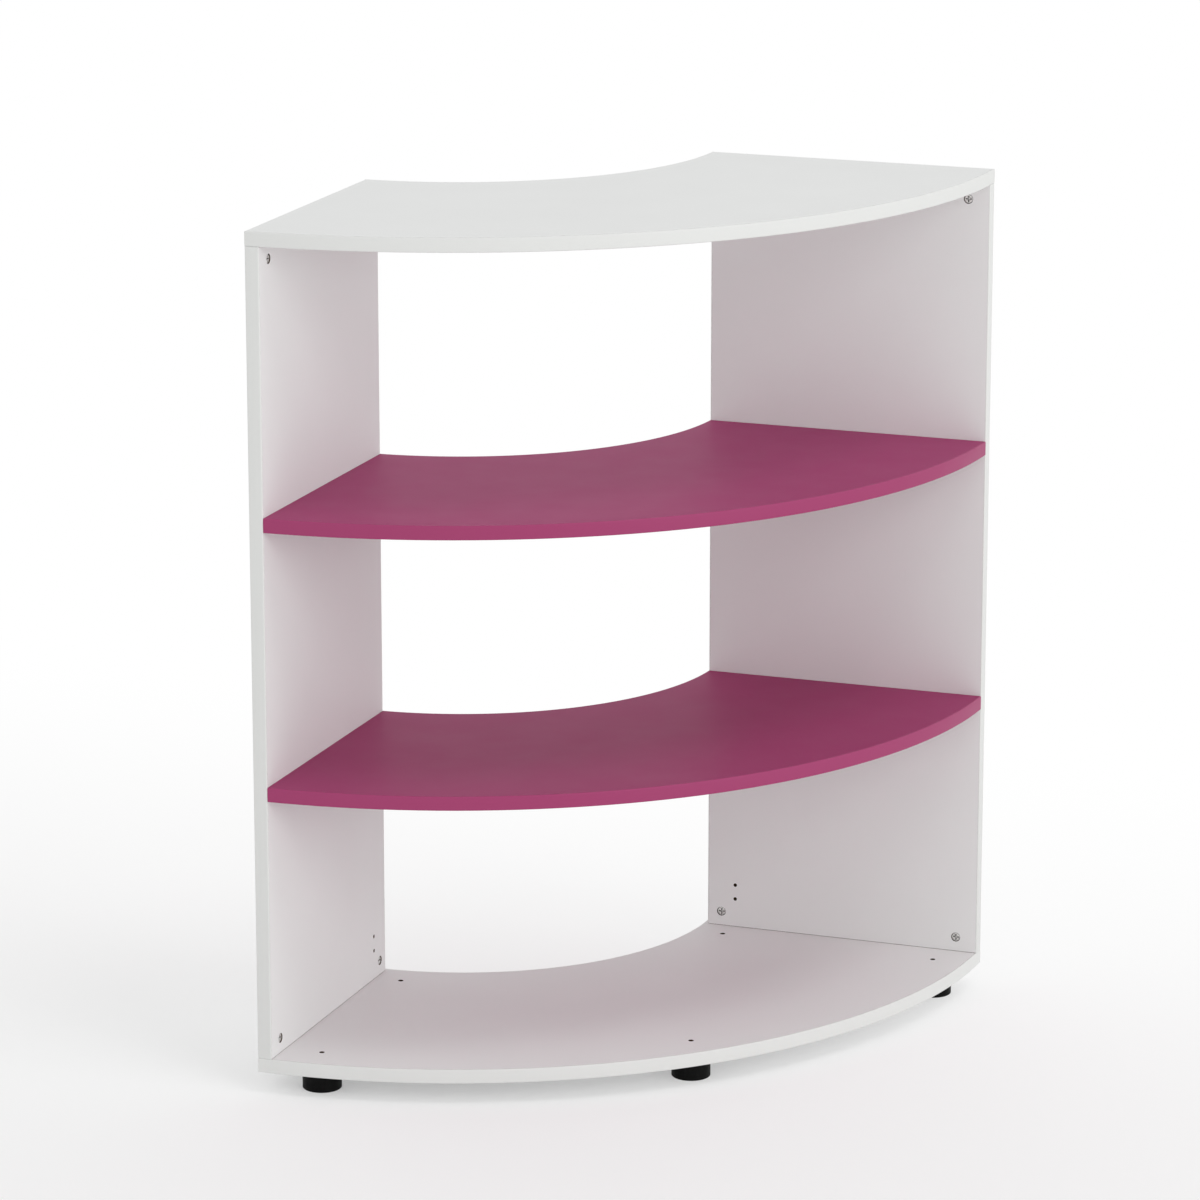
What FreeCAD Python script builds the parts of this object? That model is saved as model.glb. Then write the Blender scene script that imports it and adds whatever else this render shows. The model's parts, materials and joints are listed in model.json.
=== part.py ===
import FreeCAD, Part
import math
import os

# Curved corner shelf unit: a quarter ring of board on five levelling feet, two side panels
# standing between a top and a base, two coloured shelves, cam locks and dowels in the corners.
# Lengths are in millimetres, angles in degrees. The front is the outer arc, towards -Y.

# Carcass
carcass_height = 1100.0
front_radius = 750.0
back_radius = 356.0
corner_angle = 90.0
board_thickness = 19.0
back_setback = 6.0
shelf_pitch = 352.0
shelf_end_clearance = 0.3

# Plastic edge bands glued round the boards
band_thickness = 2.0
band_round = 1.5

# Cam locks in the inner faces of the side panels
cam_diameter = 12.4
cam_bore_clearance = 0.1
cam_end_distance = 20.0
cam_front_inset = 30.0
cam_back_inset = 20.0
cam_wall = 1.5
cam_throw = 0.5
cam_floor = 0.6
cam_face_drop = 1.0
cam_face_chamfer = 0.6
cam_bore_floor_gap = 0.5
cam_slot_overlap = 40.0
cam_half_turn = 180.0
cross_slot_width = 1.6
cross_slot_depth = 2.0
cross_slot_share = 0.66

# Ball-ended bolts that the cams pull on, screwed into the top and the base
bolt_ball_offset = 0.6
bolt_ball_gap = 0.1
bolt_neck_share = 0.66
bolt_shank_diameter = 7.0
bolt_shank_gap = 3.0
bolt_thread_diameter = 6.0
bolt_cover = 8.0
bolt_hole_clearance = 0.2

# Wooden dowels between the cam locks
dowel_diameter = 8.0
dowel_length = 30.0
dowel_cover = 9.0
dowel_chamfer = 1.0
dowel_hole_clearance = 0.1
dowel_hole_floor_gap = 0.5
dowel_place_shares = (0.32, 0.68)

# Steel pins that carry the shelves
pin_diameter = 5.0
pin_cover = 8.0
pin_reach = 11.0
pin_edge_inset = 60.0
pin_clearance = 0.1

# Pair of holes low down at the back of each side panel
link_hole_diameter = 5.0
link_hole_depth = 13.0
link_hole_inset = 40.0
link_hole_height = 40.0
link_hole_spacing = 20.0

# Levelling feet
foot_height = 28.0
foot_diameter = 51.0
foot_wall = 2.5
foot_floor = 4.0
foot_round = 1.0
foot_rim_gap = 0.4
foot_front_inset = 46.0
foot_back_inset = 44.0
foot_front_left_inset = 68.5
foot_front_right_inset = 64.0
foot_front_middle_shift = 5.5
foot_back_side_inset = 55.0
foot_slide_clearance = 0.5
foot_boss_wall = 4.0
foot_rib_width = 3.0
foot_rib_depth = 4.4
foot_rib_clearance = 0.3
foot_rib_count = 3

# Sockets pressed into the base, which hold the feet
flange_thickness = 3.0
skirt_wall = 2.5
skirt_inset = 2.0
skirt_floor_gap = 3.0
spigot_diameter = 20.0
spigot_cap = 1.0
spigot_clearance = 0.05
base_web = 6.0

# Captive screws, turned with a key through the holes in the base
access_hole_diameter = 7.0
screw_diameter = 10.0
screw_head_diameter = 14.0
screw_head_height = 4.0
screw_clearance = 0.1
screw_end_gap = 1.0
key_socket_width = 5.0
key_socket_depth = 3.0
hexagon_sides = 6

# One overrun serves all cuts
overrun = 5.0
full_turn = 360.0

# Places that follow from the sizes above
half_angle = corner_angle / 2
half_angle_rad = math.radians(half_angle)
axis_y = (front_radius + back_radius * math.cos(half_angle_rad)) / 2
panel_back = back_radius + back_setback
base_low = foot_height
base_high = base_low + board_thickness
top_high = base_low + carcass_height
top_low = top_high - board_thickness
carcass_middle = (base_low + top_high) / 2
panel_middle = board_thickness / 2

UP = FreeCAD.Vector(0, 0, 1)
ORIGIN = FreeCAD.Vector(0, 0, 0)
MIRROR = FreeCAD.Vector(1, 0, 0)
AXIS = FreeCAD.Vector(0, axis_y, 0)
SIDES = {"left": -1, "right": 1}


def along(side):
    """Direction of a side panel in plan, from the arcs' centre outwards."""
    return FreeCAD.Vector(SIDES[side] * math.sin(half_angle_rad), -math.cos(half_angle_rad), 0)


def inward(side):
    """Direction square to a side panel, from its outer face into the unit."""
    return FreeCAD.Vector(-SIDES[side] * math.cos(half_angle_rad), -math.sin(half_angle_rad), 0)


def panel_point(side, distance, depth, height):
    """A point on a side panel: distance from the arcs' centre, depth from its outer face, height."""
    return AXIS + along(side) * distance + inward(side) * depth + UP * height


def on_end_plane(radius, height):
    """A point of a board's section in the plane of the unit's left end."""
    return AXIS + along("left") * radius + UP * height


def on_left_panel(distance, depth):
    """A point of the left panel's plan section, at the panel's lower end."""
    return panel_point("left", distance, depth, base_high)


def rod(radius, start, end):
    """A cylinder between two points."""
    return Part.makeCylinder(radius, (end - start).Length, start, end - start)


def turned(outline):
    """A solid turned about Z from an outline of (radius, height) points."""
    points = [FreeCAD.Vector(radius, 0, height) for radius, height in outline]
    face = Part.Face(Part.makePolygon(points + points[:1]))
    return face.revolve(ORIGIN, UP, full_turn)


def prism(points, height):
    """A flat outline raised to a solid."""
    return Part.Face(Part.makePolygon(points + points[:1])).extrude(UP * height)


def ring(inner, outer, low, high):
    """A quarter ring of board between two radii."""
    corners = [(inner, low), (outer, low), (outer, high), (inner, high)]
    points = [on_end_plane(radius, height) for radius, height in corners]
    face = Part.Face(Part.makePolygon(points + points[:1]))
    return face.revolve(AXIS, UP, corner_angle)


def wedge(inset, low, high):
    """The space between two planes that stand in from the unit's ends by an inset."""
    reach = front_radius + overrun
    tip = AXIS + FreeCAD.Vector(0, -inset / math.sin(half_angle_rad), low)
    front = FreeCAD.Vector(0, -reach / math.cos(half_angle_rad), 0)
    return prism([tip, tip + along("left") * reach, tip + front, tip + along("right") * reach], high - low)


def band_wire(root, rim, low, high, place):
    """Section of an edge band: square where it is glued, rounded along the two outer edges."""
    out = math.copysign(band_round, rim - root)
    bulge = 1 - math.sqrt(0.5)
    low_mid = place(rim - out * bulge, low + band_round * bulge)
    high_mid = place(rim - out * bulge, high - band_round * bulge)
    low_start = place(rim - out, low)
    low_end = place(rim, low + band_round)
    high_start = place(rim, high - band_round)
    high_end = place(rim - out, high)
    edges = [
        Part.makeLine(place(root, low), low_start),
        Part.Arc(low_start, low_mid, low_end).toShape(),
        Part.makeLine(low_end, high_start),
        Part.Arc(high_start, high_mid, high_end).toShape(),
        Part.makeLine(high_end, place(root, high)),
        Part.makeLine(place(root, high), place(root, low)),
    ]
    return Part.Wire(edges)


def arc_band(root, rim, low, high):
    """An edge band bent round an arc of a board."""
    face = Part.Face(band_wire(root, rim, low, high, on_end_plane))
    return face.revolve(AXIS, UP, corner_angle)


def end_band(low, high):
    """The straight edge band on the left end of the top or the base, cut between the arc bands."""
    face = Part.Face(band_wire(band_thickness, 0, low, high, lambda depth, height:
                               panel_point("left", back_radius, depth, height)))
    strip = face.extrude(along("left") * (front_radius - back_radius))
    return strip.common(ring(back_radius + band_thickness, front_radius - band_thickness, low, high))


def mirrored(shape):
    """The same piece on the other side of the unit."""
    return shape.mirror(ORIGIN, MIRROR)


# Cam locks and their bolts
cam_radius = cam_diameter / 2
cam_cavity_radius = cam_radius - cam_wall - cam_throw
ball_radius = cam_cavity_radius - cam_throw - bolt_ball_offset - bolt_ball_gap
neck_radius = ball_radius * bolt_neck_share
cavity_half_height = ball_radius + cam_throw
cam_depth = panel_middle + cavity_half_height + cam_floor
cam_bore_radius = cam_radius + cam_bore_clearance
cam_bore_depth = cam_depth + cam_bore_floor_gap
shank_hole_radius = bolt_shank_diameter / 2 + bolt_hole_clearance
thread_length = board_thickness - bolt_cover
cam_distances = {"front": front_radius - cam_front_inset, "back": panel_back + cam_back_inset}
cam_heights = {"top": top_low - cam_end_distance, "bottom": base_high + cam_end_distance}
bolt_ways = {"top": UP, "bottom": -UP}
joint_heights = {"top": top_low, "bottom": base_high}
dowel_in_board = board_thickness - dowel_cover
dowel_in_panel = dowel_length - dowel_in_board


def cam_lock():
    """A cam in its own frame: face towards +Z, bolt along +X when it is locked."""
    body = turned([
        (0, -cam_depth),
        (cam_radius, -cam_depth),
        (cam_radius, -cam_face_drop - cam_face_chamfer),
        (cam_radius - cam_face_chamfer, -cam_face_drop),
        (0, -cam_face_drop),
    ])
    hollow_low = FreeCAD.Vector(-cam_throw, 0, -panel_middle - cavity_half_height)
    body = body.cut(Part.makeCylinder(cam_cavity_radius, cavity_half_height * 2, hollow_low))
    slot_half = neck_radius + bolt_hole_clearance
    slot_low = -UP * (panel_middle + slot_half)
    sweep = cam_half_turn + cam_slot_overlap
    slot = Part.makeCylinder(cam_radius + overrun, slot_half * 2, slot_low, UP, sweep)
    slot.rotate(ORIGIN, UP, -cam_half_turn)
    body = body.cut(slot)
    mouth_axis = FreeCAD.Vector(-1, 0, 0)
    mouth_start = -UP * panel_middle
    mouth_end = mouth_start + mouth_axis * cam_diameter
    body = body.cut(rod(ball_radius + bolt_hole_clearance, mouth_start, mouth_end))
    arm = cam_diameter * cross_slot_share
    for length, width in ((arm, cross_slot_width), (cross_slot_width, arm)):
        corner = FreeCAD.Vector(-length / 2, -width / 2, -cam_face_drop - cross_slot_depth)
        body = body.cut(Part.makeBox(length, width, cross_slot_depth + overrun, corner))
    return body


def cam_bolt():
    """A bolt along +Z, with its ball beside the cam's axis at the origin."""
    shank_start = cam_radius + bolt_shank_gap
    thread_start = cam_end_distance
    stem = turned([
        (0, bolt_ball_offset),
        (neck_radius, bolt_ball_offset),
        (neck_radius, shank_start),
        (bolt_shank_diameter / 2, shank_start),
        (bolt_shank_diameter / 2, thread_start),
        (bolt_thread_diameter / 2, thread_start),
        (bolt_thread_diameter / 2, thread_start + thread_length),
        (0, thread_start + thread_length),
    ])
    ball = Part.makeSphere(ball_radius, UP * bolt_ball_offset)
    return ball.fuse(stem).removeSplitter()


def cam_places(level):
    """Each cam of one level: its name, side, distance from the arcs' centre and height."""
    for side in SIDES:
        for end in cam_distances:
            yield "cam_%s_%s_%s" % (side, level, end), side, cam_distances[end], cam_heights[level]


def dowel_places(level):
    """Dowel centres in plan on the panel ends of one level."""
    width = front_radius - panel_back
    for side in SIDES:
        for share in dowel_place_shares:
            yield panel_point(side, panel_back + width * share, panel_middle, joint_heights[level])


def dowel():
    """A dowel along +Z, with the joint between panel and board at the origin."""
    radius = dowel_diameter / 2
    tip = radius - dowel_chamfer
    return turned([
        (0, -dowel_in_panel),
        (tip, -dowel_in_panel),
        (radius, dowel_chamfer - dowel_in_panel),
        (radius, dowel_in_board - dowel_chamfer),
        (tip, dowel_in_board),
        (0, dowel_in_board),
    ])


def stood(shape, place, way):
    """A copy of a shape along +Z, moved to a place and turned to point that way."""
    copy = shape.copy()
    copy.Placement = FreeCAD.Placement(place, FreeCAD.Rotation(UP, way))
    return copy


def joint_holes(level):
    """The holes for bolts and dowels on one level, for cutting both panels and boards."""
    way = bolt_ways[level]
    holes = []
    for name, side, distance, height in cam_places(level):
        start = panel_point(side, distance, panel_middle, height)
        holes.append(rod(shank_hole_radius, start, start + way * cam_end_distance))
        thread_hole = start + way * cam_end_distance
        holes.append(rod(bolt_thread_diameter / 2, thread_hole, thread_hole + way * thread_length))
    radius = dowel_diameter / 2 + dowel_hole_clearance
    below = dowel_in_panel + dowel_hole_floor_gap
    above = dowel_in_board + dowel_hole_floor_gap
    for place in dowel_places(level):
        holes.append(rod(radius, place - way * below, place + way * above))
    return holes


# Shelves and the pins under them
shelf_middles = {"upper": carcass_middle + shelf_pitch / 2, "lower": carcass_middle - shelf_pitch / 2}
pin_distances = (front_radius - pin_edge_inset, panel_back + pin_edge_inset)
pin_depth = board_thickness - pin_cover


def shelf_low(shelf):
    """Height of a shelf's underside."""
    return shelf_middles[shelf] - board_thickness / 2


def pins(shelf, clearance):
    """The four pins under a shelf, half sunk in it, or their holes when a clearance is given."""
    shapes = []
    for side in SIDES:
        for distance in pin_distances:
            start = panel_point(side, distance, board_thickness - pin_depth - clearance, shelf_low(shelf))
            end = panel_point(side, distance, board_thickness + pin_reach + clearance, shelf_low(shelf))
            shapes.append(rod(pin_diameter / 2 + clearance, start, end))
    return shapes


# Feet and their sockets
foot_radius = foot_diameter / 2
foot_inner_radius = foot_radius - foot_wall
boss_bore_radius = screw_diameter / 2 + screw_clearance
boss_radius = boss_bore_radius + foot_boss_wall
flange_radius = foot_inner_radius - foot_slide_clearance
flange_low = base_low - flange_thickness
skirt_radius = flange_radius - skirt_inset
skirt_low = foot_floor + skirt_floor_gap
boss_high = flange_low - foot_slide_clearance
rib_inner_radius = foot_inner_radius - foot_rib_depth
spigot_radius = spigot_diameter / 2
socket_hole_depth = board_thickness - base_web
spigot_high = base_low + socket_hole_depth
head_room_radius = screw_head_diameter / 2 + screw_clearance
head_high = spigot_high - spigot_cap - screw_clearance
head_low = head_high - screw_head_height
head_seat = head_low - screw_clearance
screw_low = foot_floor + screw_end_gap
access_radius = access_hole_diameter / 2
front_foot_radius = front_radius - foot_front_inset
back_foot_radius = back_radius + foot_back_inset


def foot_centre(radius, angle):
    """A foot's centre in plan, on an arc and at an angle to the right of the middle."""
    return AXIS + FreeCAD.Vector(radius * math.sin(angle), -radius * math.cos(angle), 0)


def end_angle(radius, side_inset):
    """The angle from the middle to a foot that stands this far in from an end face."""
    return half_angle_rad - math.asin(side_inset / radius)


back_foot_angle = end_angle(back_foot_radius, foot_back_side_inset)
feet = {
    "front_left": foot_centre(front_foot_radius, -end_angle(front_foot_radius, foot_front_left_inset)),
    "front_middle": foot_centre(front_foot_radius, foot_front_middle_shift / front_foot_radius),
    "front_right": foot_centre(front_foot_radius, end_angle(front_foot_radius, foot_front_right_inset)),
    "back_left": foot_centre(back_foot_radius, -back_foot_angle),
    "back_right": foot_centre(back_foot_radius, back_foot_angle),
}


def ribs(inner, outer, width, low, high):
    """Upright keys round a foot, evenly spaced."""
    shapes = []
    for index in range(foot_rib_count):
        key = Part.makeBox(outer - inner, width, high - low, FreeCAD.Vector(inner, -width / 2, low))
        key.rotate(ORIGIN, UP, full_turn * index / foot_rib_count)
        shapes.append(key)
    return shapes


def foot_cup():
    """The foot that stands on the floor: a cup with a threaded boss and keys inside."""
    rim = base_low - foot_rim_gap
    cup = turned([
        (0, 0),
        (foot_radius - foot_round, 0),
        (foot_radius, foot_round),
        (foot_radius, rim),
        (foot_inner_radius, rim),
        (foot_inner_radius, foot_floor),
        (boss_radius, foot_floor),
        (boss_radius, boss_high),
        (boss_bore_radius, boss_high),
        (boss_bore_radius, foot_floor),
        (0, foot_floor),
    ])
    root = foot_radius - foot_wall / 2
    return cup.fuse(ribs(rib_inner_radius, root, foot_rib_width, foot_floor / 2, boss_high)).removeSplitter()


def foot_socket():
    """The socket in the base: a flange and a slotted skirt below, a hollow spigot for the screw above."""
    skirt_inner_radius = skirt_radius - skirt_wall
    socket = turned([
        (access_radius, spigot_high),
        (spigot_radius, spigot_high),
        (spigot_radius, base_low),
        (flange_radius, base_low),
        (flange_radius, flange_low),
        (skirt_radius, flange_low),
        (skirt_radius, skirt_low),
        (skirt_inner_radius, skirt_low),
        (skirt_inner_radius, flange_low),
        (boss_bore_radius, flange_low),
        (boss_bore_radius, head_seat),
        (head_room_radius, head_seat),
        (head_room_radius, spigot_high - spigot_cap),
        (access_radius, spigot_high - spigot_cap),
    ])
    slot_inner = rib_inner_radius - foot_rib_clearance
    slot_width = foot_rib_width + foot_rib_clearance * 2
    slots = ribs(slot_inner, foot_radius, slot_width, skirt_low - overrun, boss_high + foot_rib_clearance)
    return socket.cut(slots)


def foot_screw():
    """The captive screw: a round head with a hexagon socket, and a plain shank for the thread."""
    radius = screw_diameter / 2
    screw = turned([
        (0, screw_low),
        (radius, screw_low),
        (radius, head_low),
        (screw_head_diameter / 2, head_low),
        (screw_head_diameter / 2, head_high),
        (0, head_high),
    ])
    corner = key_socket_width / 2 / math.cos(math.pi / hexagon_sides)
    turns = [math.tau * index / hexagon_sides for index in range(hexagon_sides)]
    floor = head_high - key_socket_depth
    points = [FreeCAD.Vector(corner * math.cos(turn), corner * math.sin(turn), floor) for turn in turns]
    return screw.cut(prism(points, key_socket_depth + overrun))


def foot_holes():
    """Holes in the base: one for each socket from below, one for each key from above."""
    shapes = []
    for place in feet.values():
        low = place + UP * (base_low - overrun)
        shapes.append(rod(spigot_radius + spigot_clearance, low, place + UP * spigot_high))
        shapes.append(rod(access_radius, low, place + UP * (base_high + overrun)))
    return shapes


def save(name, *shapes):
    """Writes one piece, or a group of like pieces."""
    shape = shapes[0] if len(shapes) == 1 else Part.makeCompound(list(shapes))
    shape.exportStep(os.path.join("parts", name + ".step"))


os.makedirs("parts", exist_ok=True)

# Top and base boards with their edge bands
for board, level, low, high, holes in (("top", "top", top_low, top_high, []),
                                       ("base", "bottom", base_low, base_high, foot_holes())):
    core = ring(back_radius + band_thickness, front_radius - band_thickness, low, high)
    core = core.common(wedge(band_thickness, low, high))
    save(board + "_board", core.cut(joint_holes(level) + holes))
    save(board + "_front_band", arc_band(front_radius - band_thickness, front_radius, low, high))
    save(board + "_back_band", arc_band(back_radius + band_thickness, back_radius, low, high))
    left_end = end_band(low, high)
    save(board + "_left_end_band", left_end)
    save(board + "_right_end_band", mirrored(left_end))

# Side panels with their edge bands
panel_height = top_low - base_high
panel_plan = [
    on_left_panel(panel_back + band_thickness, 0),
    on_left_panel(front_radius - band_thickness, 0),
    on_left_panel(front_radius - band_thickness, board_thickness),
    on_left_panel(panel_back + band_thickness, board_thickness),
]
panel_core = prism(panel_plan, panel_height)
panel_holes = joint_holes("top") + joint_holes("bottom")
panel_holes += pins("upper", pin_clearance) + pins("lower", pin_clearance)
for level in cam_heights:
    for name, side, distance, height in cam_places(level):
        face = panel_point(side, distance, board_thickness + overrun, height)
        floor = panel_point(side, distance, board_thickness - cam_bore_depth, height)
        panel_holes.append(rod(cam_bore_radius, floor, face))
for height in (link_hole_height, link_hole_height + link_hole_spacing):
    for side in SIDES:
        face = panel_point(side, panel_back + link_hole_inset, board_thickness + overrun, base_high + height)
        floor_depth = board_thickness - link_hole_depth
        floor = panel_point(side, panel_back + link_hole_inset, floor_depth, base_high + height)
        panel_holes.append(rod(link_hole_diameter / 2, floor, face))
panel_bands = {
    "front": (front_radius - band_thickness, front_radius),
    "back": (panel_back + band_thickness, panel_back),
}
save("left_panel", panel_core.cut(panel_holes))
save("right_panel", mirrored(panel_core).cut(panel_holes))
for end, (root, rim) in panel_bands.items():
    band = Part.Face(band_wire(root, rim, 0, board_thickness, on_left_panel)).extrude(UP * panel_height)
    save("left_panel_%s_band" % end, band)
    save("right_panel_%s_band" % end, mirrored(band))

# Shelves with their edge bands, and the pins that carry them
for shelf in shelf_middles:
    low = shelf_low(shelf)
    high = low + board_thickness
    between = wedge(board_thickness + shelf_end_clearance, low, high)
    core = ring(panel_back + band_thickness, front_radius - band_thickness, low, high)
    save(shelf + "_shelf", core.common(between).cut(pins(shelf, pin_clearance)))
    front = arc_band(front_radius - band_thickness, front_radius, low, high)
    back = arc_band(panel_back + band_thickness, panel_back, low, high)
    save(shelf + "_shelf_front_band", front.common(between))
    save(shelf + "_shelf_back_band", back.common(between))
    save(shelf + "_shelf_pins", *pins(shelf, 0))

# Cam locks, bolts and dowels in the corners
for level, board in (("top", "top"), ("bottom", "base")):
    bolts = []
    for name, side, distance, height in cam_places(level):
        axis = inward(side)
        way = bolt_ways[level]
        cam = cam_lock()
        turn = FreeCAD.Rotation(way, axis.cross(way), axis, "ZXY")
        cam.Placement = FreeCAD.Placement(panel_point(side, distance, board_thickness, height), turn)
        save(name, cam)
        bolts.append(stood(cam_bolt(), panel_point(side, distance, panel_middle, height), way))
    save(board + "_cam_bolts", *bolts)
    save(board + "_dowels", *[stood(dowel(), place, bolt_ways[level]) for place in dowel_places(level)])

# Levelling feet
for name, place in feet.items():
    for piece, shape in (("socket", foot_socket()), ("screw", foot_screw()), ("cup", foot_cup())):
        shape.translate(place)
        save("foot_%s_%s" % (piece, name), shape)
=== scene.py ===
import json
import math

import bmesh
import bpy
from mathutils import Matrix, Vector

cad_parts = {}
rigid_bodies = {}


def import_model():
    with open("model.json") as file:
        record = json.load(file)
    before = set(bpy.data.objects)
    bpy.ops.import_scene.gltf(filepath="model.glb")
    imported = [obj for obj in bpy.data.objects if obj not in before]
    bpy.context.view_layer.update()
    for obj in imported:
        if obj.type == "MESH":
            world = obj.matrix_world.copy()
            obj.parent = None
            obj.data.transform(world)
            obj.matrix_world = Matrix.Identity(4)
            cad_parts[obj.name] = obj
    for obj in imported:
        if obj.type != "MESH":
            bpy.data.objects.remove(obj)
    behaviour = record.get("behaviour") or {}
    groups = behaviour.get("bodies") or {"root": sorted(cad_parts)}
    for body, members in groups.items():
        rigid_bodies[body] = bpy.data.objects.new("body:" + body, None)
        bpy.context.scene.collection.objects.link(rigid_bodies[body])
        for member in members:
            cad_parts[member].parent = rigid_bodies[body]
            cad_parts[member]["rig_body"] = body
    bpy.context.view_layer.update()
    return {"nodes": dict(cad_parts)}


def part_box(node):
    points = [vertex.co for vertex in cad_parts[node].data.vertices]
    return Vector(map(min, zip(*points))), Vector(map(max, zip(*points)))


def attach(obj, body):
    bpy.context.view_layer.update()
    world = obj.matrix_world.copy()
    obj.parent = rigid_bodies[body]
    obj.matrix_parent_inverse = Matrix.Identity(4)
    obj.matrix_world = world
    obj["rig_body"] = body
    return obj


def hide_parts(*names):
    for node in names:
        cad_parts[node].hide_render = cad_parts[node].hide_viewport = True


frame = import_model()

# Base board
# Chipboard of 19 mm, cut to a quarter ring. A sheet of resin-soaked white paper is pressed on each
# face by a plate with a fine pearl texture; the brown chips show only where the board is drilled.
MM = 0.001
MERGE_DISTANCE = 0.001 * MM
FLAT_ANGLE = math.radians(0.2)
SHARP_ANGLE = math.radians(25)
BOARD_EASE = 0.08 * MM
FACE_SHARE = 0.8
UP = Vector((0, 0, 1))
PAPER_CLOUD = 140 * MM
HAND_MARK = 55 * MM
# The plate's pearls are about 0.5 mm across, and are drawn at 1.6 mm so that they show.
PEARL = 1.6 * MM
PEARL_HEIGHT = 0.1 * MM
FLAKE = 1.8 * MM
FLAKE_HEIGHT = 0.3 * MM


def linear(hex_colour):
    """The linear colour that a shader takes, from an sRGB hex value."""
    channels = [int(hex_colour[start:start + 2], 16) / 255 for start in (1, 3, 5)]
    return [c / 12.92 if c <= 0.04045 else ((c + 0.055) / 1.055) ** 2.4 for c in channels] + [1.0]


def set_inputs(tree, node, inputs):
    """Gives each named input of a shader node its value or its link."""
    for socket, value in inputs.items():
        if isinstance(value, bpy.types.NodeSocket):
            tree.links.new(value, node.inputs[socket])
        else:
            node.inputs[socket].default_value = value


def add_node(tree, kind, inputs=None, **settings):
    """A shader node with its settings, and with values or links for its inputs. A pattern's Scale
    is one over the size of its features."""
    node = tree.nodes.new(kind)
    for name, value in settings.items():
        setattr(node, name, value)
    set_inputs(tree, node, inputs or {})
    return node


def new_material(name):
    """An empty material, its node tree and its one shader."""
    material = bpy.data.materials.new(name)
    material.use_nodes = True
    tree = material.node_tree
    return material, tree, tree.nodes["Principled BSDF"]


def melamine(name, paper, shade):
    """Melamine-faced board: printed paper under clear resin, hard and dull satin, with a fine pearl
    texture that breaks up reflections."""
    material, tree, shader = new_material(name)
    place = add_node(tree, "ShaderNodeTexCoord").outputs["Object"]
    cloud = add_node(tree, "ShaderNodeTexNoise", {"Vector": place, "Scale": 1 / PAPER_CLOUD, "Detail": 3.0})
    colour = add_node(tree, "ShaderNodeMixRGB", {
        "Fac": cloud.outputs["Fac"], "Color1": linear(paper), "Color2": linear(shade)})
    handled = add_node(tree, "ShaderNodeTexNoise", {"Vector": place, "Scale": 1 / HAND_MARK, "Detail": 4.0})
    rough = add_node(tree, "ShaderNodeMapRange", {
        "Value": handled.outputs["Fac"], "To Min": 0.48, "To Max": 0.58})
    pearls = add_node(tree, "ShaderNodeTexNoise", {"Vector": place, "Scale": 1 / PEARL, "Detail": 1.0})
    bump = add_node(tree, "ShaderNodeBump", {
        "Height": pearls.outputs["Fac"], "Strength": 0.05, "Distance": PEARL_HEIGHT})
    set_inputs(tree, shader, {
        "Base Color": colour.outputs["Color"],
        "Roughness": rough.outputs["Result"],
        "Normal": bump.outputs["Normal"],
        "IOR": 1.5,
        "Specular IOR Level": 0.15,
    })
    return material


def chipboard():
    """Drilled or sawn chipboard: brown flakes and darker glue, matt and ragged."""
    material, tree, shader = new_material("chipboard_core")
    place = add_node(tree, "ShaderNodeTexCoord").outputs["Object"]
    flakes = add_node(tree, "ShaderNodeTexVoronoi", {
        "Vector": place, "Scale": 1 / FLAKE, "Randomness": 1.0})
    colour = add_node(tree, "ShaderNodeMixRGB", {
        "Fac": flakes.outputs["Color"], "Color1": linear("#352A20"), "Color2": linear("#5E4A34")})
    bump = add_node(tree, "ShaderNodeBump", {
        "Height": flakes.outputs["Distance"], "Strength": 0.5, "Distance": FLAKE_HEIGHT})
    set_inputs(tree, shader, {
        "Base Color": colour.outputs["Color"],
        "Roughness": 0.9,
        "Normal": bump.outputs["Normal"],
    })
    return material


def sharp_edges(bm):
    """The edges of a closed mesh where two faces meet at more than a slight angle."""
    return [edge for edge in bm.edges if edge.is_manifold and edge.calc_face_angle() > SHARP_ANGLE]


def ease_edges(bm, edges, width, clamp):
    """Breaks edges with one flat facet, kept from crossing its neighbours where clamp is set."""
    if edges:
        bmesh.ops.bevel(bm, geom=edges, offset=width, offset_type="OFFSET", segments=1, profile=0.5,
                        affect="EDGES", clamp_overlap=clamp, material=-1)


def eased_copy(node, materials, ease, end_ease=0.0, shortest=0.0, across=None):
    """A finished piece from a CAD node: merged, its sharp edges eased, smooth where it is round.
    At its lowest and highest ends, edges no shorter than shortest take end_ease. With a direction
    across a board, the first material goes on the two faces and the second on what is cut between."""
    bm = bmesh.new()
    bm.from_mesh(frame["nodes"][node].data)
    bmesh.ops.remove_doubles(bm, verts=bm.verts, dist=MERGE_DISTANCE)
    bmesh.ops.dissolve_limit(bm, verts=bm.verts, edges=bm.edges, angle_limit=FLAT_ANGLE)
    if end_ease > 0:
        low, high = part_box(node)
        ends = [edge for edge in sharp_edges(bm) if edge.calc_length() >= shortest and any(
            all(abs(vert.co.z - end) < MERGE_DISTANCE for vert in edge.verts) for end in (low.z, high.z))]
        ease_edges(bm, ends, end_ease, clamp=False)
    ease_edges(bm, sharp_edges(bm), ease, clamp=True)
    mesh = bpy.data.meshes.new(node + "_finish")
    for material in materials:
        mesh.materials.append(material)
    if across is not None:
        for face in bm.faces:
            face.material_index = 0 if abs(face.normal.dot(across)) > FACE_SHARE else 1
    bm.to_mesh(mesh)
    bm.free()
    mesh.shade_smooth()
    mesh.set_sharp_from_angle(angle=SHARP_ANGLE)
    piece = bpy.data.objects.new(node + "_finish", mesh)
    bpy.context.scene.collection.objects.link(piece)
    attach(piece, frame["nodes"][node]["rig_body"])
    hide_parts(node)
    return piece


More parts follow.
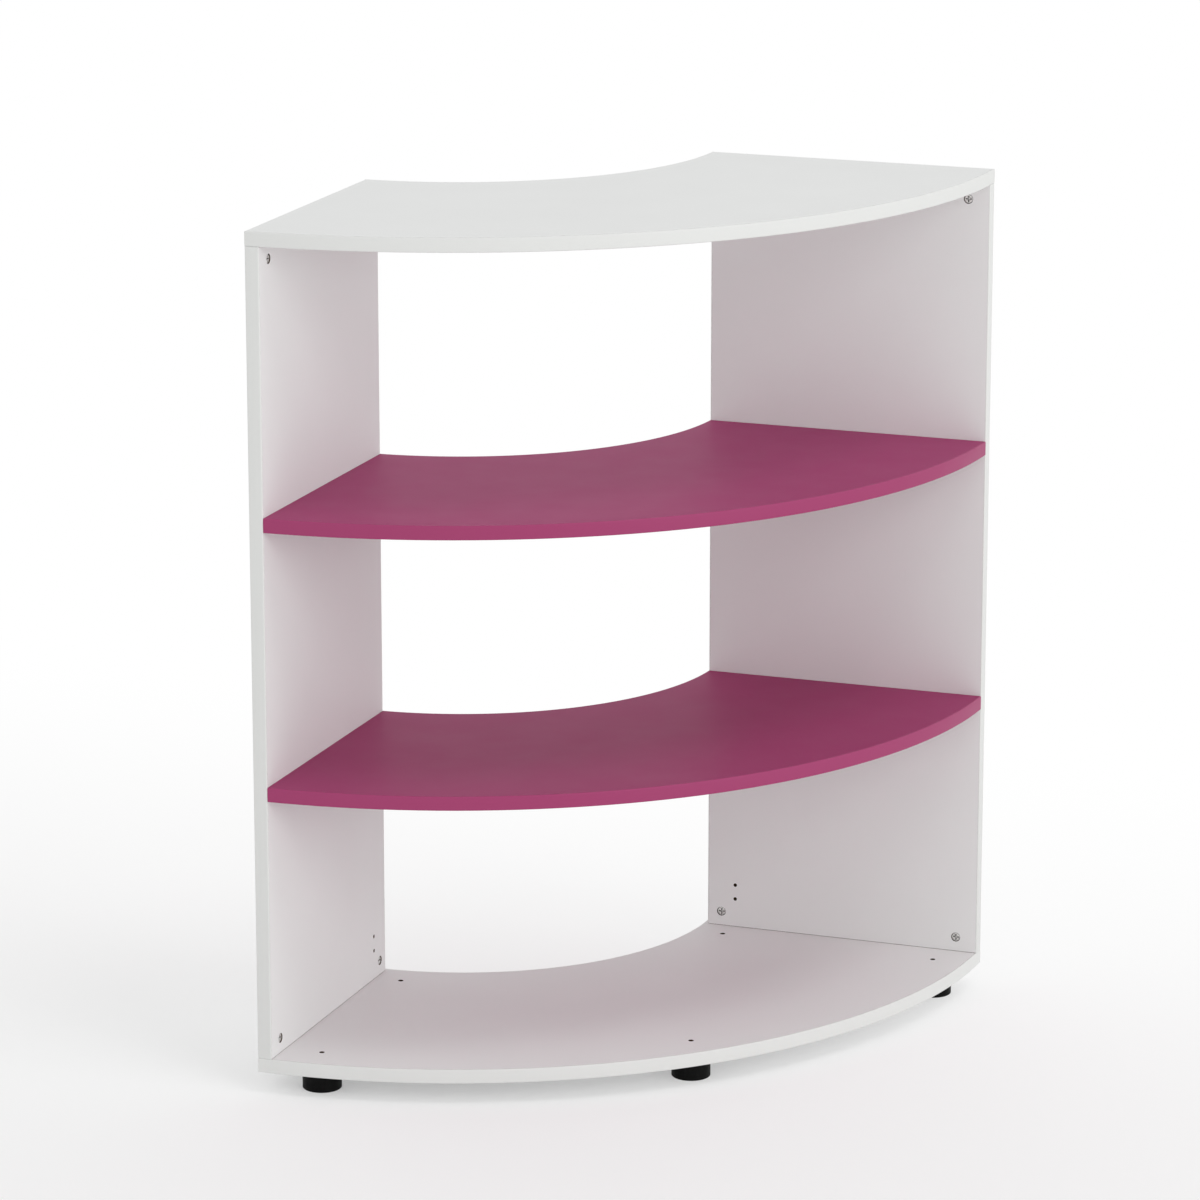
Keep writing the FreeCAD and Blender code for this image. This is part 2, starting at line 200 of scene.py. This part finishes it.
white_melamine = melamine("white_melamine", "#EEEFEE", "#EAEBEA")
chipboard_core = chipboard()
base_board = eased_copy("base_board", [white_melamine, chipboard_core], BOARD_EASE, across=UP)

# Edge bands of the base
# White plastic strip of 2 mm, extruded, glued round the board and milled to a small radius.
# The cutter leaves fine lines along the strip, and the milled radius is a little paler.
BOARD_SIDES = ("front", "back", "left_end", "right_end")
BAND_EASE = 0.06 * MM
STRIP_MOTTLE = 35 * MM
# Cutter lines are some 0.2 mm apart, and are drawn 2 mm apart so that they show.
CUTTER_LINE = 2.0 * MM
CUTTER_LINE_HEIGHT = 0.1 * MM
ALONG_STRIP = (0.02, 0.02, 1.0)
MILLED_RADIUS = 0.8 * MM


def edge_share(tree, radius, turned, most):
    """Nothing on flat faces, rising to most where an edge, rounded to radius, turns from its face."""
    rounded = add_node(tree, "ShaderNodeBevel", {"Radius": radius}, samples=4)
    facing = add_node(tree, "ShaderNodeNewGeometry")
    same = add_node(tree, "ShaderNodeVectorMath", {
        0: rounded.outputs["Normal"], 1: facing.outputs["Normal"]}, operation="DOT_PRODUCT")
    share = add_node(tree, "ShaderNodeMapRange", {
        "Value": same.outputs["Value"], "From Min": 1.0, "From Max": turned, "To Max": most})
    return share.outputs["Result"]


def edging(name, body, milled):
    """Extruded ABS strip: even satin plastic with faint lines along it."""
    material, tree, shader = new_material(name)
    place = add_node(tree, "ShaderNodeTexCoord").outputs["Object"]
    mottle = add_node(tree, "ShaderNodeTexNoise", {
        "Vector": place, "Scale": 1 / STRIP_MOTTLE, "Detail": 3.0})
    stretch = add_node(tree, "ShaderNodeMapping", {"Vector": place, "Scale": ALONG_STRIP})
    lines = add_node(tree, "ShaderNodeTexNoise", {
        "Vector": stretch.outputs["Vector"], "Scale": 1 / CUTTER_LINE})
    colour = add_node(tree, "ShaderNodeMixRGB", {
        "Fac": edge_share(tree, MILLED_RADIUS, turned=0.9, most=1.0),
        "Color1": linear(body), "Color2": linear(milled)})
    rough = add_node(tree, "ShaderNodeMapRange", {
        "Value": mottle.outputs["Fac"], "To Min": 0.42, "To Max": 0.52})
    bump = add_node(tree, "ShaderNodeBump", {
        "Height": lines.outputs["Fac"], "Strength": 0.06, "Distance": CUTTER_LINE_HEIGHT})
    set_inputs(tree, shader, {
        "Base Color": colour.outputs["Color"],
        "Roughness": rough.outputs["Result"],
        "Normal": bump.outputs["Normal"],
        "IOR": 1.53,
        "Specular IOR Level": 0.22,
    })
    return material


white_edging = edging("white_abs_edging", "#E3E4E2", "#E8E9E7")
for side in BOARD_SIDES:
    band = eased_copy("base_%s_band" % side, [white_edging], BAND_EASE)

# Foot sockets
# Black nylon, injection moulded: a spigot pressed into the base from below, a flange against it,
# and a slotted skirt that guides the foot. Only the skirt shows, when a foot is screwed down.
FEET = ("front_left", "front_middle", "front_right", "back_left", "back_right")
SMALL_EASE = 0.25 * MM
# The grain is about 0.15 mm, and is drawn at 0.7 mm so that it shows.
MOULD_GRAIN = 0.7 * MM
MOULD_GRAIN_HEIGHT = 0.08 * MM
DUST = 9 * MM
RUBBED_RADIUS = 0.6 * MM


def moulded_plastic(name, body, worn):
    """Moulded black plastic: spark-eroded grain, soft gloss, edges rubbed a little paler."""
    material, tree, shader = new_material(name)
    place = add_node(tree, "ShaderNodeTexCoord").outputs["Object"]
    grain = add_node(tree, "ShaderNodeTexNoise", {"Vector": place, "Scale": 1 / MOULD_GRAIN, "Detail": 2.0})
    dust = add_node(tree, "ShaderNodeTexNoise", {"Vector": place, "Scale": 1 / DUST, "Detail": 4.0})
    colour = add_node(tree, "ShaderNodeMixRGB", {
        "Fac": edge_share(tree, RUBBED_RADIUS, turned=0.85, most=0.6),
        "Color1": linear(body), "Color2": linear(worn)})
    rough = add_node(tree, "ShaderNodeMapRange", {
        "Value": dust.outputs["Fac"], "To Min": 0.42, "To Max": 0.62})
    bump = add_node(tree, "ShaderNodeBump", {
        "Height": grain.outputs["Fac"], "Strength": 0.2, "Distance": MOULD_GRAIN_HEIGHT})
    set_inputs(tree, shader, {
        "Base Color": colour.outputs["Color"],
        "Roughness": rough.outputs["Result"],
        "Normal": bump.outputs["Normal"],
        "IOR": 1.53,
        "Specular IOR Level": 0.08,
    })
    return material


black_nylon = moulded_plastic("black_nylon", "#0B0B0B", "#181818")
for foot in FEET:
    socket = eased_copy("foot_socket_" + foot, [black_nylon], SMALL_EASE)

# Foot screws
# Turned steel with a hexagon socket in the head, zinc plated and blue passivated. Each is held in
# its socket and turned with a key through the small hole in the base above it.
BATH_CLOUD = 4 * MM


def plated_steel():
    """Zinc-plated steel: grey, half bright, with cloudy patches from the bath."""
    material, tree, shader = new_material("zinc_plated_steel")
    place = add_node(tree, "ShaderNodeTexCoord").outputs["Object"]
    bath = add_node(tree, "ShaderNodeTexNoise", {"Vector": place, "Scale": 1 / BATH_CLOUD, "Detail": 3.0})
    colour = add_node(tree, "ShaderNodeMixRGB", {
        "Fac": bath.outputs["Fac"], "Color1": linear("#A9ACAF"), "Color2": linear("#C3C5C6")})
    rough = add_node(tree, "ShaderNodeMapRange", {
        "Value": bath.outputs["Fac"], "To Min": 0.28, "To Max": 0.45})
    set_inputs(tree, shader, {
        "Base Color": colour.outputs["Color"],
        "Roughness": rough.outputs["Result"],
        "Metallic": 1.0,
    })
    return material


zinc_plated_steel = plated_steel()
for foot in FEET:
    screw = eased_copy("foot_screw_" + foot, [zinc_plated_steel], SMALL_EASE)

# Foot cups
# The same nylon: the part that stands on the floor. Keys inside keep it from turning, so that the
# screw drives it down by as much as the floor needs.
CUP_EASE = 0.35 * MM

for foot in FEET:
    cup = eased_copy("foot_cup_" + foot, [black_nylon], CUP_EASE)

# Bolts and dowels
# Steel bolts with a ball end, screwed into base and top, and beech dowels between them. All are
# inside the boards once the unit stands.
FLECK = 0.8 * MM
ALONG_DOWEL = (1.0, 1.0, 0.12)


def beech():
    """Turned beech: pinkish straw, with short darker flecks along the grain."""
    material, tree, shader = new_material("beech")
    place = add_node(tree, "ShaderNodeTexCoord").outputs["Object"]
    grain = add_node(tree, "ShaderNodeMapping", {"Vector": place, "Scale": ALONG_DOWEL})
    flecks = add_node(tree, "ShaderNodeTexNoise", {"Vector": grain.outputs["Vector"], "Scale": 1 / FLECK})
    colour = add_node(tree, "ShaderNodeMixRGB", {
        "Fac": flecks.outputs["Fac"], "Color1": linear("#B98D63"), "Color2": linear("#D9B58C")})
    set_inputs(tree, shader, {"Base Color": colour.outputs["Color"], "Roughness": 0.7})
    return material


turned_beech = beech()
for level in ("base", "top"):
    bolts = eased_copy(level + "_cam_bolts", [zinc_plated_steel], SMALL_EASE)
    dowels = eased_copy(level + "_dowels", [turned_beech], SMALL_EASE)

# Side panels
# The same white board, standing between base and top, square cut at its ends. A hairline shows
# where an end meets base or top, because the saw's arris is broken there.
SIDES = {"left": -1, "right": 1}
ENDS = ("front", "back")
CORNER = math.radians(45)
END_EASE = 0.6 * MM
STRAIGHT_END = 10 * MM

for side, way in SIDES.items():
    across = Vector((way * math.cos(CORNER), math.sin(CORNER), 0))
    panel = eased_copy(side + "_panel", [white_melamine, chipboard_core], BOARD_EASE, END_EASE,
                       STRAIGHT_END, across)
    for end in ENDS:
        band = eased_copy("%s_panel_%s_band" % (side, end), [white_edging], BAND_EASE, END_EASE)

# Cam locks
# Die-cast zinc, tumbled bright. Each drops into its bore, just below the panel's face, and half a
# turn with a cross-tip screwdriver pulls the bolt's ball home.
# How far the painted shade in the cams' slots and rims looks for nearby surfaces.
PAINTED_SHADE_REACH = 2.0 * MM
# The pits are about 0.8 mm across, and are drawn at 2 mm so that they show.
PIT = 2.0 * MM
PIT_HEIGHT = 0.1 * MM


def cast_zinc():
    """Tumbled zinc casting: bright high spots and duller grey pits, with painted shade that goes near black
    in its slot and round its rim."""
    material, tree, shader = new_material("die_cast_zinc")
    place = add_node(tree, "ShaderNodeTexCoord").outputs["Object"]
    pits = add_node(tree, "ShaderNodeTexNoise", {"Vector": place, "Scale": 1 / PIT, "Detail": 2.0})
    spots = add_node(tree, "ShaderNodeMapRange", {
        "Value": pits.outputs["Fac"], "From Min": 0.35, "From Max": 0.62})
    metal = add_node(tree, "ShaderNodeMixRGB", {
        "Fac": spots.outputs["Result"], "Color1": linear("#BDBDBB"), "Color2": linear("#F5F5F2")})
    # Painted shade: where other surfaces lie within that reach, the metal is darkened towards near black in
    # the slot and at the rim.
    reach = add_node(tree, "ShaderNodeAmbientOcclusion", {"Distance": PAINTED_SHADE_REACH}, samples=8)
    unshaded = add_node(tree, "ShaderNodeMapRange", {
        "Value": reach.outputs["AO"], "From Min": 0.4, "From Max": 0.8})
    colour = add_node(tree, "ShaderNodeMixRGB", {
        "Fac": unshaded.outputs["Result"], "Color1": linear("#232322"), "Color2": metal.outputs["Color"]})
    rough = add_node(tree, "ShaderNodeMapRange", {
        "Value": pits.outputs["Fac"], "To Min": 0.35, "To Max": 0.60})
    bump = add_node(tree, "ShaderNodeBump", {
        "Height": pits.outputs["Fac"], "Strength": 0.3, "Distance": PIT_HEIGHT})
    set_inputs(tree, shader, {
        "Base Color": colour.outputs["Color"],
        "Roughness": rough.outputs["Result"],
        "Normal": bump.outputs["Normal"],
        "Metallic": 1.0,
    })
    return material


die_cast_zinc = cast_zinc()
for side in SIDES:
    for level in ("top", "bottom"):
        for end in ENDS:
            cam = eased_copy("cam_%s_%s_%s" % (side, level, end), [die_cast_zinc], SMALL_EASE)

# Shelves
# Magenta melamine-faced board on four hidden steel pins each, with magenta edge bands glued along
# the front and back arcs. The ends stand a hair clear of the panels.
magenta_melamine = melamine("magenta_melamine", "#A43C6F", "#9F396B")
magenta_edging = edging("magenta_abs_edging", "#A33F6D", "#AD4E7B")
for shelf in ("lower_shelf", "upper_shelf"):
    pins = eased_copy(shelf + "_pins", [zinc_plated_steel], SMALL_EASE)
    board = eased_copy(shelf, [magenta_melamine, chipboard_core], BOARD_EASE, across=UP)
    for end in ENDS:
        band = eased_copy("%s_%s_band" % (shelf, end), [magenta_edging], BAND_EASE)

# Top board
# The same white board as the base, undrilled above, with white edge bands all round. It sits on
# the panels' dowels and is pulled down by the cams.
top_board = eased_copy("top_board", [white_melamine, chipboard_core], BOARD_EASE, across=UP)
for side in BOARD_SIDES:
    band = eased_copy("top_%s_band" % side, [white_edging], BAND_EASE)

# Studio floor
# A pale matt floor that keeps the unit's shadow. It runs out to plain white behind the unit, a
# little to the right, and far off on all sides. Under the base less of that white is let in, a painted
# shadow that deepens the real one.
FLOOR_HALF = 12.0
FAR_START = 2.5
FAR_END = 7.0
FADE_YAW = math.radians(46)
FADE_START = -0.86
FADE_END = 1.51
WHITE_SHARE = 0.31
CONTACT_REACH = 100 * MM
CONTACT_SHARE = 0.84
WHITE = "#FFFFFF"


def seen_share(tree):
    """1 where the camera looks, directly or by way of gloss or glass, and 0 for light on its way."""
    ray = add_node(tree, "ShaderNodeLightPath")
    opaque = add_node(tree, "ShaderNodeMath", {
        0: ray.outputs["Is Camera Ray"], 1: ray.outputs["Is Glossy Ray"]}, operation="MAXIMUM")
    seen = add_node(tree, "ShaderNodeMath", {
        0: opaque.outputs["Value"], 1: ray.outputs["Is Transmission Ray"]}, operation="MAXIMUM")
    return seen.outputs["Value"]


bm = bmesh.new()
bmesh.ops.create_grid(bm, x_segments=1, y_segments=1, size=FLOOR_HALF)
floor_mesh = bpy.data.meshes.new("studio_floor")
bm.to_mesh(floor_mesh)
bm.free()
floor = bpy.data.objects.new("studio_floor", floor_mesh)
bpy.context.scene.collection.objects.link(floor)

floor_paint, tree, shader = new_material("studio_floor_paint")
set_inputs(tree, shader, {"Base Color": linear("#FCFCFC"), "Roughness": 0.8})
place = add_node(tree, "ShaderNodeTexCoord").outputs["Object"]
turn = add_node(tree, "ShaderNodeMapping", {"Vector": place, "Rotation": (0, 0, FADE_YAW)})
depth = add_node(tree, "ShaderNodeSeparateXYZ", {"Vector": turn.outputs["Vector"]})
fade = add_node(tree, "ShaderNodeMapRange", {
    "Value": depth.outputs["Y"], "From Min": FADE_START, "From Max": FADE_END, "To Min": WHITE_SHARE},
    interpolation_type="SMOOTHSTEP")
distance = add_node(tree, "ShaderNodeVectorMath", {0: place}, operation="LENGTH")
rim = add_node(tree, "ShaderNodeMapRange", {
    "Value": distance.outputs["Value"], "From Min": FAR_START, "From Max": FAR_END},
    interpolation_type="SMOOTHSTEP")
pale = add_node(tree, "ShaderNodeMath", {
    0: fade.outputs["Result"], 1: rim.outputs["Result"]}, operation="MAXIMUM")
# Painted shadow: within the contact reach of the base, occlusion cuts the white share so that the floor
# shows darker under the unit.
reach = add_node(tree, "ShaderNodeAmbientOcclusion", {"Distance": CONTACT_REACH}, samples=8)
lit = add_node(tree, "ShaderNodeMapRange", {"Value": reach.outputs["AO"], "To Min": CONTACT_SHARE})
let_in = add_node(tree, "ShaderNodeMath", {
    0: pale.outputs["Value"], 1: lit.outputs["Result"]}, operation="MULTIPLY")
share = add_node(tree, "ShaderNodeMath", {
    0: seen_share(tree), 1: let_in.outputs["Value"]}, operation="MULTIPLY")
white = add_node(tree, "ShaderNodeEmission", {"Color": linear(WHITE), "Strength": 1.0})
mix = add_node(tree, "ShaderNodeMixShader", {
    0: share.outputs["Value"], 1: shader.outputs["BSDF"], 2: white.outputs["Emission"]})
set_inputs(tree, tree.nodes["Material Output"], {"Surface": mix.outputs["Shader"]})
floor_mesh.materials.append(floor_paint)

# Studio light
# An even white dome and three large soft boxes far off, on the right of the camera: one low, one
# at the height of a hall's ceiling and one steeply above.
DOME_LEVEL = 0.70
LAMP_AIM = Vector((0.0, 0.0, 0.6))
LAMP_SIZE = 6.0
LAMPS = {
    "low_box": (Vector((8.4, -18.0, 3.4)), 576.0),
    "front_box": (Vector((3.0, -17.0, 10.6)), 396.0),
    "high_box": (Vector((4.2, -7.4, 18.8)), 416.0),
}

world = bpy.data.worlds.new("studio_dome")
world.use_nodes = True
bpy.context.scene.world = world
tree = world.node_tree
dome = tree.nodes["Background"]
set_inputs(tree, dome, {"Color": linear(WHITE), "Strength": DOME_LEVEL})
backdrop = add_node(tree, "ShaderNodeBackground", {"Color": linear(WHITE), "Strength": 1.0})
mix = add_node(tree, "ShaderNodeMixShader", {
    0: seen_share(tree), 1: dome.outputs["Background"], 2: backdrop.outputs["Background"]})
set_inputs(tree, tree.nodes["World Output"], {"Surface": mix.outputs["Shader"]})

for name, (spot, power) in LAMPS.items():
    lamp = bpy.data.lights.new(name, "AREA")
    lamp.size = LAMP_SIZE
    lamp.energy = power
    soft_box = bpy.data.objects.new(name, lamp)
    soft_box.location = spot
    soft_box.rotation_euler = (LAMP_AIM - spot).to_track_quat("-Z", "Y").to_euler()
    bpy.context.scene.collection.objects.link(soft_box)

# Camera
# A long lens a little above the top board, turned to the unit from the front left and tilted down
# from the level.
CAMERA_PLACE = Vector((-2.8971, -6.1515, 2.3468))
CAMERA_YAW = math.radians(24.986)
CAMERA_PITCH = math.radians(-14.473)
LEVEL_VIEW = math.radians(90)
SENSOR_WIDTH = 36.0
FOCAL_LENGTH = 161.06

lens = bpy.data.cameras.new("camera")
lens.sensor_width = SENSOR_WIDTH
lens.lens = FOCAL_LENGTH
camera = bpy.data.objects.new("camera", lens)
camera.location = CAMERA_PLACE
camera.rotation_euler = (LEVEL_VIEW + CAMERA_PITCH, 0, -CAMERA_YAW)
bpy.context.scene.collection.objects.link(camera)
bpy.context.scene.camera = camera
bpy.context.scene.view_settings.view_transform = "Standard"
